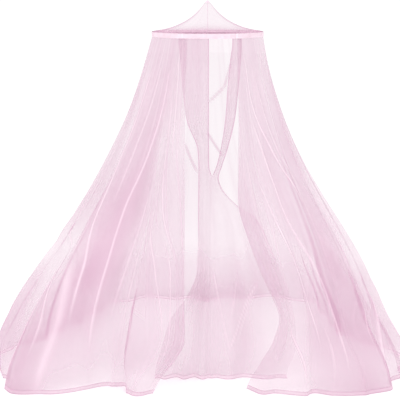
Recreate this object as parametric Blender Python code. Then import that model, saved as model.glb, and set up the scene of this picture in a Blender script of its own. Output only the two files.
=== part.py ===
"""Mosquito net canopy on a hoop, hung from a ceiling.

A net cap and a tape casing hold a round hoop. Below it hang a panel that wraps round from one front
flap to the other, and a parted inner panel behind the flaps. Metres, +Z up, front towards -Y.
Heights below are measured from the floor, and the origin is the hanging point in the ribbon loop.
"""

import math
from collections import namedtuple

import bmesh
import bpy
from mathutils import Vector

# Cloth, gaps and hoop
NET = 0.0012  # thickness of the net solids
HEM = 0.0022  # thickness where the edge is turned up and sewn
HEM_HEIGHT = 0.020
GAP = 0.0003  # between pieces that are sewn or rest together
LAP = 0.0005  # between the two panels where both are tucked into the casing
HOOP_TUBE = 0.0045  # radius of the hoop's tube
RING_STEPS = 72  # facets of the hoop and the casing, which the panels' top edges follow
SHARP_ANGLE = math.radians(50)  # edges that bend more than this stay sharp
MERGE = 1e-6

# Casing: tape folded over the hoop, open below
CASING_RADIUS = 0.310
CASING_TOP = 1.807
CASING_HEIGHT = 0.026
CASING_INNER_HEIGHT = 0.015
TAPE = 0.0012
PANEL_TOP = CASING_TOP - 0.010
CLEAR_OF_CASING = CASING_TOP - CASING_HEIGHT - 0.002

# Radii inside the casing, from the outside in
MAIN_TOP_RADIUS = CASING_RADIUS - TAPE - GAP - NET / 2
FRONT_TOP_RADIUS = MAIN_TOP_RADIUS - NET - LAP
HOOP_RADIUS = FRONT_TOP_RADIUS - NET / 2 - GAP - HOOP_TUBE
HOOP_HEIGHT = CASING_TOP - TAPE - GAP - HOOP_TUBE

# Cap, as a profile from its sewn edge to its peak
CapRow = namedtuple("CapRow", "radius height dip")
CAP = (
    CapRow(0.3085, CASING_TOP + GAP + NET / 2, 0.000),
    CapRow(0.2550, 1.8165, 0.003),
    CapRow(0.2040, 1.8290, 0.005),
    CapRow(0.1300, 1.8600, 0.006),
    CapRow(0.0730, 1.8990, 0.005),
    CapRow(0.0350, 1.9380, 0.003),
    CapRow(0.0120, 1.9670, 0.001),
)
PEAK_HEIGHT = 1.977
GORES = 4
CAP_STEPS = 48

# Ribbon loop that stands on the peak
RIBBON = 0.0015
RIBBON_WIDTH = 0.012
LOOP_WIDTH = 0.026
LOOP_HEIGHT = 0.052
LOOP_STEPS = 24
LOOP_BASE = PEAK_HEIGHT + NET / 2 + GAP
HANG_HEIGHT = LOOP_BASE + LOOP_HEIGHT - RIBBON

# How the skirt falls: the share of the way from the hoop's width to the hem's, on its left and right
Fall = namedtuple("Fall", "height left right")
FALL = (
    Fall(0.000, 1.000, 1.000),
    Fall(0.090, 0.975, 0.965),
    Fall(0.300, 0.875, 0.805),
    Fall(0.410, 0.805, 0.745),
    Fall(0.520, 0.720, 0.690),
    Fall(0.660, 0.605, 0.600),
    Fall(0.930, 0.405, 0.400),
    Fall(1.110, 0.295, 0.277),
    Fall(1.350, 0.168, 0.150),
    Fall(1.650, 0.046, 0.034),
    Fall(CLEAR_OF_CASING, 0.000, 0.000),
)

# Where the hem of the wrap-round panel stands: degrees from the front, positive to the right
HemPoint = namedtuple("HemPoint", "degrees reach")
HEM_LINE = (
    HemPoint(-180, 0.980),
    HemPoint(-153, 1.110),
    HemPoint(-122, 0.930),
    HemPoint(-98, 0.970),
    HemPoint(-81, 1.205),
    HemPoint(-63, 1.250),
    HemPoint(-56, 1.240),
    HemPoint(-50, 1.300),
    HemPoint(-46, 1.200),
    HemPoint(-41, 1.000),
    HemPoint(-36, 0.880),
    HemPoint(-31, 0.820),
    HemPoint(-27, 0.935),
    HemPoint(-19, 0.880),
    HemPoint(15, 0.790),
    HemPoint(18, 0.845),
    HemPoint(29, 0.968),
    HemPoint(38, 1.040),
    HemPoint(44, 1.190),
    HemPoint(51, 1.190),
    HemPoint(61, 1.160),
    HemPoint(75, 1.160),
    HemPoint(87, 1.020),
    HemPoint(102, 0.830),
    HemPoint(122, 0.900),
    HemPoint(148, 1.160),
    HemPoint(180, 0.980),
)

# The two upright edges of the wrap-round panel, in degrees
FlapEdge = namedtuple("FlapEdge", "height left right")
FLAP_EDGES = (
    FlapEdge(0.000, -19.3, 15.0),
    FlapEdge(0.080, -16.7, 17.0),
    FlapEdge(0.160, -12.5, 20.0),
    FlapEdge(0.260, -9.0, 24.5),
    FlapEdge(0.380, -9.6, 27.5),
    FlapEdge(0.560, -10.7, 24.0),
    FlapEdge(0.750, -12.0, 20.5),
    FlapEdge(0.920, -13.5, 18.0),
    FlapEdge(1.100, -15.5, 20.1),
    FlapEdge(1.350, -18.0, 24.0),
    FlapEdge(1.560, -20.2, 27.0),
    FlapEdge(CASING_TOP, -20.6, 30.5),
)
EDGE_SHARE = 0.10  # of the panel's width that follows an edge as it swings

# Folds of the wrap-round panel, from the left flap's edge round the back to the right flap's edge:
# width as a share, depth and sideways lean at the hem, and how far down the skirt the fold begins
Fold = namedtuple("Fold", "width depth lean begins")
MAIN_FOLDS = (
    Fold(0.6, 0.035, 0.020, 0.05),
    Fold(0.8, 0.050, -0.045, 0.02),
    Fold(0.7, 0.040, 0.030, 0.30),
    Fold(1.0, 0.060, -0.065, 0.08),
    Fold(0.7, 0.045, 0.040, 0.02),
    Fold(1.1, 0.060, 0.060, 0.20),
    Fold(0.8, 0.055, -0.050, 0.05),
    Fold(1.0, 0.050, 0.055, 0.25),
    Fold(0.8, 0.045, -0.040, 0.10),
    Fold(1.3, 0.060, 0.030, 0.02),
    Fold(1.1, 0.060, -0.035, 0.15),
    Fold(1.2, 0.060, 0.030, 0.02),
    Fold(0.9, 0.060, -0.020, 0.10),
    Fold(1.1, 0.060, 0.030, 0.05),
    Fold(1.2, 0.060, 0.020, 0.12),
    Fold(1.1, 0.060, -0.030, 0.05),
    Fold(1.3, 0.060, 0.035, 0.02),
    Fold(0.8, 0.045, -0.035, 0.20),
    Fold(1.0, 0.050, 0.050, 0.10),
    Fold(0.9, 0.055, -0.055, 0.02),
    Fold(1.1, 0.060, -0.060, 0.22),
    Fold(0.7, 0.045, 0.040, 0.05),
    Fold(1.0, 0.060, 0.060, 0.08),
    Fold(0.7, 0.045, -0.040, 0.02),
    Fold(0.8, 0.050, 0.045, 0.25),
    Fold(0.6, 0.035, -0.025, 0.05),
)
FOLD_STEPS = 5
MAIN_HEIGHTS = (
    PANEL_TOP, CLEAR_OF_CASING, 1.69, 1.56, 1.42, 1.27, 1.11, 0.94,
    0.77, 0.60, 0.45, 0.31, 0.18, 0.08, HEM_HEIGHT, 0.0,
)

# The inner front panel: its left side, the parting, and the strip that widens into its right side,
# all in degrees, with the depth of the folds on either side of the parting
Section = namedtuple("Section", "height left part_left part_right right fold_left fold_right")
FRONT_SECTIONS = (
    Section(0.000, -26.0, 1.8, 1.8, 36.0, 0.036, 0.036),
    Section(HEM_HEIGHT, -26.0, 1.8, 1.8, 36.0, 0.036, 0.036),
    Section(0.150, -24.0, 1.8, 1.8, 40.0, 0.038, 0.036),
    Section(0.310, -20.5, 1.9, 1.9, 42.0, 0.040, 0.034),
    Section(0.430, -12.5, 1.9, 1.9, 42.0, 0.038, 0.032),
    Section(0.560, -7.0, 1.9, 1.9, 39.5, 0.036, 0.028),
    Section(0.720, -6.5, 2.0, 2.0, 36.5, 0.036, 0.022),
    Section(0.840, -6.8, 2.1, 2.1, 31.5, 0.036, 0.016),
    Section(0.885, -6.9, 2.2, 2.2, 23.6, 0.036, 0.014),
    Section(0.924, -7.0, 2.4, 2.4, 18.2, 0.036, 0.012),
    Section(0.966, -7.1, 2.6, 2.6, 13.1, 0.035, 0.010),
    Section(1.005, -7.2, 2.9, 2.9, 9.8, 0.035, 0.009),
    Section(1.050, -7.3, 3.2, 3.2, 8.2, 0.034, 0.009),
    Section(1.112, -7.5, 0.9, 6.8, 11.2, 0.032, 0.009),
    Section(1.200, -8.6, 0.9, 10.4, 16.2, 0.026, 0.009),
    Section(1.350, -18.5, 0.9, 15.0, 23.6, 0.014, 0.008),
    Section(1.516, -23.8, 0.9, 18.2, 29.0, 0.007, 0.005),
    Section(1.650, -27.0, 1.0, 21.4, 33.0, 0.002, 0.002),
    Section(CLEAR_OF_CASING, -30.8, 1.0, 25.1, 35.7, 0.0, 0.0),
    Section(PANEL_TOP, -30.8, 1.0, 25.1, 35.7, 0.0, 0.0),
)
FRONT_HEM_REACH = 0.580  # straight ahead, from the middle to the inner panel's hem
LEFT_FOLDS = 3
RIGHT_FOLDS = 2

# Colours, as red, green, blue
NET_PINK = (0.87, 0.62, 0.72)
TAPE_PINK = (0.90, 0.68, 0.77)
RIBBON_PINK = (0.80, 0.52, 0.64)
HOOP_WHITE = (0.86, 0.80, 0.82)


def curve(rows, key, column, where):
    """A column's value at where, on a smooth curve through the rows that never overshoots them."""
    keys = [getattr(row, key) for row in rows]
    values = [getattr(row, column) for row in rows]
    where = min(max(where, keys[0]), keys[-1])
    steps = [(values[i + 1] - values[i]) / (keys[i + 1] - keys[i]) for i in range(len(keys) - 1)]

    def slope(i):
        before, after = steps[max(i - 1, 0)], steps[min(i, len(steps) - 1)]
        return 0.0 if before * after <= 0 else 2 * before * after / (before + after)

    i = max(k for k in range(len(steps)) if keys[k] <= where)
    width = keys[i + 1] - keys[i]
    t = (where - keys[i]) / width
    bend = t * t * (3 - 2 * t)
    start = slope(i) * width * t * (1 - t) ** 2
    end = slope(i + 1) * width * t * t * (t - 1)
    return values[i] + (values[i + 1] - values[i]) * bend + start + end


def point(degrees, radius, height):
    """A point at a height above the floor, turned from the front, in the part's frame."""
    turn = math.radians(degrees)
    return Vector((radius * math.sin(turn), -radius * math.cos(turn), height - HANG_HEIGHT))


def on_facets(degrees, radius):
    """The radius at which the hoop's flat facets pass under this direction."""
    facet = 360 / RING_STEPS
    off = degrees % facet - facet / 2
    return radius * math.cos(math.radians(facet / 2)) / math.cos(math.radians(off))


def blend(a, b, share):
    return a + (b - a) * share


def flare_at(degrees, height):
    """How far the skirt has flared here, from 0 under the casing to 1 at the hem."""
    left = curve(FALL, "height", "left", height)
    right = curve(FALL, "height", "right", height)
    return blend(left, right, (1 + math.sin(math.radians(degrees))) / 2)


def wrapped(degrees):
    """The same direction, between -180 and 180 degrees."""
    return (degrees + 180) % 360 - 180


def fold_columns(folds, steps):
    """For each column of a folded panel: its place across the panel, its fold and its rise, 0 to 1."""
    total = sum(fold.width for fold in folds)
    columns, done = [], 0.0
    for fold in folds:
        for step in range(steps):
            phase = step / steps
            rise = (1 - math.cos(2 * math.pi * phase)) / 2
            columns.append(((done + fold.width * phase) / total, fold, rise))
        done += fold.width
    columns.append((1.0, folds[-1], 0.0))
    return columns


def main_point(across, fold, rise, height):
    """A point of the wrap-round panel, counted from the left flap's edge."""
    top, hem = FLAP_EDGES[-1], FLAP_EDGES[0]
    at_top = top.left - across * (360 - top.right + top.left)
    at_hem = hem.left - across * (360 - hem.right + hem.left)
    flare = flare_at(at_top, height)
    degrees = blend(at_top, at_hem, flare)
    left_swing = curve(FLAP_EDGES, "height", "left", height) - blend(top.left, hem.left, flare)
    right_swing = curve(FLAP_EDGES, "height", "right", height) - blend(top.right, hem.right, flare)
    degrees += left_swing * max(0.0, 1 - across / EDGE_SHARE) ** 2
    degrees += right_swing * max(0.0, 1 - (1 - across) / EDGE_SHARE) ** 2
    down = 1 - height / PANEL_TOP
    grown = max(0.0, (down - fold.begins) / (1 - fold.begins)) if flare > 0 else 0.0
    reach = curve(HEM_LINE, "degrees", "reach", wrapped(degrees))
    radius = blend(on_facets(degrees, MAIN_TOP_RADIUS), reach, flare)
    radius += (rise - 0.5) * fold.depth * grown
    degrees += math.degrees(fold.lean * rise * grown / radius)
    return point(degrees, radius, height)


def front_point(left, right, across, rise, depth, height):
    """A point of the inner front panel, between two of its edges."""
    degrees = blend(left, right, across)
    hem = FRONT_HEM_REACH / math.cos(math.radians(degrees))
    radius = blend(on_facets(degrees, FRONT_TOP_RADIUS), hem, flare_at(degrees, height))
    return point(degrees, radius + (rise - 0.5) * depth, height)


def skin(mesh, rows, closed=False):
    """Adds faces through rows of points, and returns the rows of vertices."""
    made = [[mesh.verts.new(p) for p in row] for row in rows]
    count = len(rows[0])
    for upper, lower in zip(made, made[1:]):
        for i in range(count if closed else count - 1):
            j = (i + 1) % count
            mesh.faces.new((upper[i], lower[i], lower[j], upper[j]))
    return made


def finish(name, colour, roughness):
    material = bpy.data.materials.new(name)
    material.use_nodes = True
    shader = material.node_tree.nodes["Principled BSDF"]
    shader.inputs["Base Color"].default_value = (*colour, 1.0)
    shader.inputs["Roughness"].default_value = roughness
    shader.inputs["Metallic"].default_value = 0.0
    return material


def keep(name, mesh, material):
    """Stores a bmesh as a named object."""
    bmesh.ops.remove_doubles(mesh, verts=mesh.verts, dist=MERGE)
    bmesh.ops.recalc_face_normals(mesh, faces=mesh.faces)
    data = bpy.data.meshes.new(name)
    mesh.to_mesh(data)
    mesh.free()
    data.shade_smooth()
    data.materials.append(material)
    made = bpy.data.objects.new(name, data)
    bpy.context.collection.objects.link(made)
    return made


def thicken(made, is_hem=None):
    """Gives a sheet its thickness, half to each side, with the hem thicker."""
    cloth = made.modifiers.new("cloth", "SOLIDIFY")
    cloth.offset = 0.0
    cloth.thickness = NET
    if is_hem is None:
        return
    cloth.thickness = HEM
    group = made.vertex_groups.new(name="hem")
    for vertex in made.data.vertices:
        group.add([vertex.index], 1.0 if is_hem(vertex.co) else NET / HEM, "REPLACE")
    cloth.vertex_group = group.name


def in_hem(place):
    return place.z + HANG_HEIGHT <= HEM_HEIGHT + GAP


def make_net_main(material):
    columns = fold_columns(MAIN_FOLDS, FOLD_STEPS)
    mesh = bmesh.new()
    skin(mesh, [[main_point(*column, height) for column in columns] for height in MAIN_HEIGHTS])
    thicken(keep("net_main", mesh, material), in_hem)


def make_net_front(material):
    """Two stretches of cloth that part above the strip's narrowest place and are one below it."""
    mesh = bmesh.new()
    sides = (
        ("left", "part_left", "fold_left", LEFT_FOLDS),
        ("part_right", "right", "fold_right", RIGHT_FOLDS),
    )
    for start, end, depth, count in sides:
        columns = fold_columns([Fold(1, 1, 0, 0)] * count, FOLD_STEPS)
        rows = []
        for s in reversed(FRONT_SECTIONS):
            edges = getattr(s, start), getattr(s, end)
            # The strip's outer columns stay on the edge, where both stretches meet
            rows.append([
                front_point(*edges, across, rise, getattr(s, depth), s.height)
                if 0 < across < 1 else front_point(*edges, across, 0.5, 0.0, s.height)
                for across, _, rise in columns
            ])
        skin(mesh, rows)
    thicken(keep("net_front", mesh, material), in_hem)


def make_cap(material):
    """Gores that dip between their seams, drawn together at the peak."""
    mesh = bmesh.new()
    rows = []
    for row in CAP:
        ring = []
        for step in range(CAP_STEPS):
            degrees = 360 * step / CAP_STEPS
            dip = row.dip * math.sin(math.pi * GORES * step / CAP_STEPS) ** 2
            ring.append(point(degrees, row.radius, row.height - dip))
        rows.append(ring)
    last = skin(mesh, rows, closed=True)[-1]
    peak = mesh.verts.new(point(0, 0, PEAK_HEIGHT))
    for i, vertex in enumerate(last):
        mesh.faces.new((vertex, peak, last[(i + 1) % CAP_STEPS]))
    thicken(keep("cap", mesh, material))


def turned(name, profile, material):
    """A closed ring: a closed profile of (radius, height) carried once round the axis."""
    mesh = bmesh.new()
    rows = [
        [point(360 * step / RING_STEPS, radius, height) for step in range(RING_STEPS)]
        for radius, height in [*profile, profile[0]]
    ]
    skin(mesh, rows, closed=True)
    made = keep(name, mesh, material)
    made.data.set_sharp_from_angle(angle=SHARP_ANGLE)


def make_casing(material):
    inner = HOOP_RADIUS - HOOP_TUBE - GAP
    low, low_inside = CASING_TOP - CASING_HEIGHT, CASING_TOP - CASING_INNER_HEIGHT
    under = CASING_TOP - TAPE
    turned("casing", (
        (CASING_RADIUS, low),
        (CASING_RADIUS, CASING_TOP),
        (inner - TAPE, CASING_TOP),
        (inner - TAPE, low_inside),
        (inner, low_inside),
        (inner, under),
        (CASING_RADIUS - TAPE, under),
        (CASING_RADIUS - TAPE, low),
    ), material)


def make_hoop(material):
    sides = 8
    turned("hoop", [
        (HOOP_RADIUS + HOOP_TUBE * math.cos(2 * math.pi * k / sides),
         HOOP_HEIGHT + HOOP_TUBE * math.sin(2 * math.pi * k / sides))
        for k in range(sides)
    ], material)


def make_hang_loop(material):
    """A ribbon bent into a tall ring, standing on the peak."""
    mesh = bmesh.new()
    middle = LOOP_BASE + LOOP_HEIGHT / 2 - HANG_HEIGHT
    rows = []
    for thick, side in ((0, -1), (0, 1), (RIBBON, 1), (RIBBON, -1), (0, -1)):
        wide, tall = LOOP_WIDTH / 2 - thick, LOOP_HEIGHT / 2 - thick
        rows.append([
            Vector((
                wide * math.cos(2 * math.pi * k / LOOP_STEPS),
                side * RIBBON_WIDTH / 2,
                middle + tall * math.sin(2 * math.pi * k / LOOP_STEPS),
            ))
            for k in range(LOOP_STEPS)
        ])
    skin(mesh, rows, closed=True)
    made = keep("hang_loop", mesh, material)
    made.data.set_sharp_from_angle(angle=SHARP_ANGLE)


def main():
    for old in list(bpy.data.objects):
        bpy.data.objects.remove(old, do_unlink=True)
    net = finish("polyester net", NET_PINK, 0.75)
    make_net_main(net)
    make_net_front(net)
    make_cap(net)
    make_casing(finish("polyester tape", TAPE_PINK, 0.7))
    make_hang_loop(finish("woven ribbon", RIBBON_PINK, 0.65))
    make_hoop(finish("plastic tube", HOOP_WHITE, 0.4))


main()
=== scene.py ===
"""Looks of the mosquito net canopy: its pleated net, sewn cap, tape casing and ribbon loop.

Heights in the tables are metres above the floor, directions are degrees from the front, positive
to the right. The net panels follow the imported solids' own folds, with their fine pleats added.
"""

import math
from collections import namedtuple

import bpy
import numpy as np
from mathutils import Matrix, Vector


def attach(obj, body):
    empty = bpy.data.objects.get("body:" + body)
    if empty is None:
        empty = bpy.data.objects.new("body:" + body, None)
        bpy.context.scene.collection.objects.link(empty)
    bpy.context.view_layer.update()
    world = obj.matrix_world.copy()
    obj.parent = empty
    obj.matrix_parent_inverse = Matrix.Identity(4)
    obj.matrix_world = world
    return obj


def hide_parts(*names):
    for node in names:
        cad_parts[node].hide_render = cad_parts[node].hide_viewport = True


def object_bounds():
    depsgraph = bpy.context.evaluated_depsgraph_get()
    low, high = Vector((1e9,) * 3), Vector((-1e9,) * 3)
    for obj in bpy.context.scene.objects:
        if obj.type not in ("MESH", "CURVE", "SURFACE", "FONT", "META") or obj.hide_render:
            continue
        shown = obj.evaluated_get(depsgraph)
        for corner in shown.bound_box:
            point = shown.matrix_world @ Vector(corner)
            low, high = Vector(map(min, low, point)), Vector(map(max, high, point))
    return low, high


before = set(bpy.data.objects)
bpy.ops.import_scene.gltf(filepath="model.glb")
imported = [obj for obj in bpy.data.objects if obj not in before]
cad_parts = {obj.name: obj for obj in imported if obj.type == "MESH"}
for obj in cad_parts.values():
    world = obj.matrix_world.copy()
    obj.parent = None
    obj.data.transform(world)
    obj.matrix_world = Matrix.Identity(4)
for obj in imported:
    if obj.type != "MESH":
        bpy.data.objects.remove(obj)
CAD_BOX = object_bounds()

# ---------------------------------------------------------------- sizes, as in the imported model
FLOOR = CAD_BOX[0].z
NET = 0.0012
GAP = 0.0003
LAP = 0.0005
HOOP_TUBE = 0.0045
RING_STEPS = 72
CASING_RADIUS = 0.310
CASING_TOP = 1.807
CASING_HEIGHT = 0.026
CASING_INNER_HEIGHT = 0.015
TAPE = 0.0012
PANEL_TOP = CASING_TOP - 0.010
CLEAR_OF_CASING = CASING_TOP - CASING_HEIGHT - 0.002
MAIN_TOP_RADIUS = CASING_RADIUS - TAPE - GAP - NET / 2
FRONT_TOP_RADIUS = MAIN_TOP_RADIUS - NET - LAP
HOOP_RADIUS = FRONT_TOP_RADIUS - NET / 2 - GAP - HOOP_TUBE
PEAK_HEIGHT = 1.977
RIBBON_WIDTH = 0.012
LOOP_WIDTH = 0.026
LOOP_HEIGHT = 0.052
LOOP_BASE = PEAK_HEIGHT + NET / 2 + GAP
GORES = 4
HEM_HEIGHT = 0.020
HEM_STITCHES = 0.0195  # how far up the cloth they run
TAPE_STITCHES = 0.056
STITCH_PITCH = 0.005

CapRow = namedtuple("CapRow", "radius height dip")
CAP = (
    CapRow(0.3085, CASING_TOP + GAP + NET / 2, 0.000),
    CapRow(0.2550, 1.8165, 0.003),
    CapRow(0.2040, 1.8290, 0.005),
    CapRow(0.1300, 1.8600, 0.006),
    CapRow(0.0730, 1.8990, 0.005),
    CapRow(0.0350, 1.9380, 0.003),
    CapRow(0.0120, 1.9670, 0.001),
    CapRow(0.0000, PEAK_HEIGHT, 0.000),
)

# How the skirt falls: the share of the way from the hoop's width to the hem's, on its left and right
Fall = namedtuple("Fall", "height left right")
FALL = (
    Fall(0.000, 1.000, 1.000),
    Fall(0.090, 0.975, 0.965),
    Fall(0.300, 0.875, 0.805),
    Fall(0.410, 0.805, 0.745),
    Fall(0.520, 0.720, 0.690),
    Fall(0.660, 0.605, 0.600),
    Fall(0.930, 0.405, 0.400),
    Fall(1.110, 0.295, 0.277),
    Fall(1.350, 0.168, 0.150),
    Fall(1.650, 0.046, 0.034),
    Fall(CLEAR_OF_CASING, 0.000, 0.000),
)

# Where the hem of the wrap-round panel stands
HemPoint = namedtuple("HemPoint", "degrees reach")
HEM_LINE = (
    HemPoint(-180, 0.980),
    HemPoint(-153, 1.110),
    HemPoint(-122, 0.930),
    HemPoint(-98, 0.970),
    HemPoint(-81, 1.205),
    HemPoint(-63, 1.250),
    HemPoint(-56, 1.240),
    HemPoint(-50, 1.300),
    HemPoint(-46, 1.200),
    HemPoint(-41, 1.000),
    HemPoint(-36, 0.880),
    HemPoint(-31, 0.820),
    HemPoint(-27, 0.935),
    HemPoint(-19, 0.880),
    HemPoint(15, 0.790),
    HemPoint(18, 0.845),
    HemPoint(29, 0.968),
    HemPoint(38, 1.040),
    HemPoint(44, 1.190),
    HemPoint(51, 1.190),
    HemPoint(61, 1.160),
    HemPoint(75, 1.160),
    HemPoint(87, 1.020),
    HemPoint(102, 0.830),
    HemPoint(122, 0.900),
    HemPoint(148, 1.160),
    HemPoint(180, 0.980),
)

# The two upright edges of the wrap-round panel
FlapEdge = namedtuple("FlapEdge", "height left right")
FLAP_EDGES = (
    FlapEdge(0.000, -19.3, 15.0),
    FlapEdge(0.080, -16.7, 17.0),
    FlapEdge(0.160, -12.5, 20.0),
    FlapEdge(0.260, -9.0, 24.5),
    FlapEdge(0.380, -9.6, 27.5),
    FlapEdge(0.560, -10.7, 24.0),
    FlapEdge(0.750, -12.0, 20.5),
    FlapEdge(0.920, -13.5, 18.0),
    FlapEdge(1.100, -15.5, 20.1),
    FlapEdge(1.350, -18.0, 24.0),
    FlapEdge(1.560, -20.2, 27.0),
    FlapEdge(CASING_TOP, -20.6, 30.5),
)
EDGE_SHARE = 0.10  # of the panel's width that follows an edge as it swings

# Folds of the wrap-round panel, from the left flap's edge round the back to the right flap's edge
Fold = namedtuple("Fold", "width depth lean begins")
MAIN_FOLDS = (
    Fold(0.6, 0.035, 0.020, 0.05),
    Fold(0.8, 0.050, -0.045, 0.02),
    Fold(0.7, 0.040, 0.030, 0.30),
    Fold(1.0, 0.060, -0.065, 0.08),
    Fold(0.7, 0.045, 0.040, 0.02),
    Fold(1.1, 0.060, 0.060, 0.20),
    Fold(0.8, 0.055, -0.050, 0.05),
    Fold(1.0, 0.050, 0.055, 0.25),
    Fold(0.8, 0.045, -0.040, 0.10),
    Fold(1.3, 0.060, 0.030, 0.02),
    Fold(1.1, 0.060, -0.035, 0.15),
    Fold(1.2, 0.060, 0.030, 0.02),
    Fold(0.9, 0.060, -0.020, 0.10),
    Fold(1.1, 0.060, 0.030, 0.05),
    Fold(1.2, 0.060, 0.020, 0.12),
    Fold(1.1, 0.060, -0.030, 0.05),
    Fold(1.3, 0.060, 0.035, 0.02),
    Fold(0.8, 0.045, -0.035, 0.20),
    Fold(1.0, 0.050, 0.050, 0.10),
    Fold(0.9, 0.055, -0.055, 0.02),
    Fold(1.1, 0.060, -0.060, 0.22),
    Fold(0.7, 0.045, 0.040, 0.05),
    Fold(1.0, 0.060, 0.060, 0.08),
    Fold(0.7, 0.045, -0.040, 0.02),
    Fold(0.8, 0.050, 0.045, 0.25),
    Fold(0.6, 0.035, -0.025, 0.05),
)

# The inner front panel: its left side, the parting, and the strip that widens into its right side
Section = namedtuple("Section", "height left part_left part_right right fold_left fold_right")
FRONT_SECTIONS = (
    Section(0.000, -26.0, 1.8, 1.8, 36.0, 0.036, 0.036),
    Section(0.020, -26.0, 1.8, 1.8, 36.0, 0.036, 0.036),
    Section(0.150, -24.0, 1.8, 1.8, 40.0, 0.038, 0.036),
    Section(0.310, -20.5, 1.9, 1.9, 42.0, 0.040, 0.034),
    Section(0.430, -12.5, 1.9, 1.9, 42.0, 0.038, 0.032),
    Section(0.560, -7.0, 1.9, 1.9, 39.5, 0.036, 0.028),
    Section(0.720, -6.5, 2.0, 2.0, 36.5, 0.036, 0.022),
    Section(0.840, -6.8, 2.1, 2.1, 31.5, 0.036, 0.016),
    Section(0.885, -6.9, 2.2, 2.2, 23.6, 0.036, 0.014),
    Section(0.924, -7.0, 2.4, 2.4, 18.2, 0.036, 0.012),
    Section(0.966, -7.1, 2.6, 2.6, 13.1, 0.035, 0.010),
    Section(1.005, -7.2, 2.9, 2.9, 9.8, 0.035, 0.009),
    Section(1.050, -7.3, 3.2, 3.2, 8.2, 0.034, 0.009),
    Section(1.112, -7.5, 0.9, 6.8, 11.2, 0.032, 0.009),
    Section(1.200, -8.6, 0.9, 10.4, 16.2, 0.026, 0.009),
    Section(1.350, -18.5, 0.9, 15.0, 23.6, 0.014, 0.008),
    Section(1.516, -23.8, 0.9, 18.2, 29.0, 0.007, 0.005),
    Section(1.650, -27.0, 1.0, 21.4, 33.0, 0.002, 0.002),
    Section(CLEAR_OF_CASING, -30.8, 1.0, 25.1, 35.7, 0.0, 0.0),
    Section(PANEL_TOP, -30.8, 1.0, 25.1, 35.7, 0.0, 0.0),
)
FRONT_HEM_REACH = 0.580
ROLL = 0.0035  # half of the width of a rolled edge
ROLL_LAYERS = 6.5
# Thin folds that run aslant: painted highlight lines near the inner panel's hem, and dark ones on the
# skirt's back
SlantFold = namedtuple("SlantFold", "high high_degrees low low_degrees strength half")
CROSSING_FOLDS = (
    SlantFold(0.60, 2.8, 0.16, 11.2, 0.5, 0.0055),
    SlantFold(0.52, 28.5, 0.16, 11.2, 0.5, 0.0055),
    SlantFold(0.60, 32.0, 0.22, 17.0, 0.35, 0.0055),
    SlantFold(0.66, 21.0, 0.34, 13.0, 0.3, 0.0055),
)
BACK_FOLDS = (
    SlantFold(1.61, 157.0, 1.47, 165.0, 2.6, 0.0070),
    SlantFold(1.47, 165.0, 1.38, 178.0, 2.6, 0.0070),
    SlantFold(1.18, 179.5, 1.04, 170.0, 3.0, 0.0070),
    SlantFold(1.11, 194.5, 0.93, 186.0, 2.6, 0.0070),
)
LEFT_FOLDS = 3
RIGHT_FOLDS = 2
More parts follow.
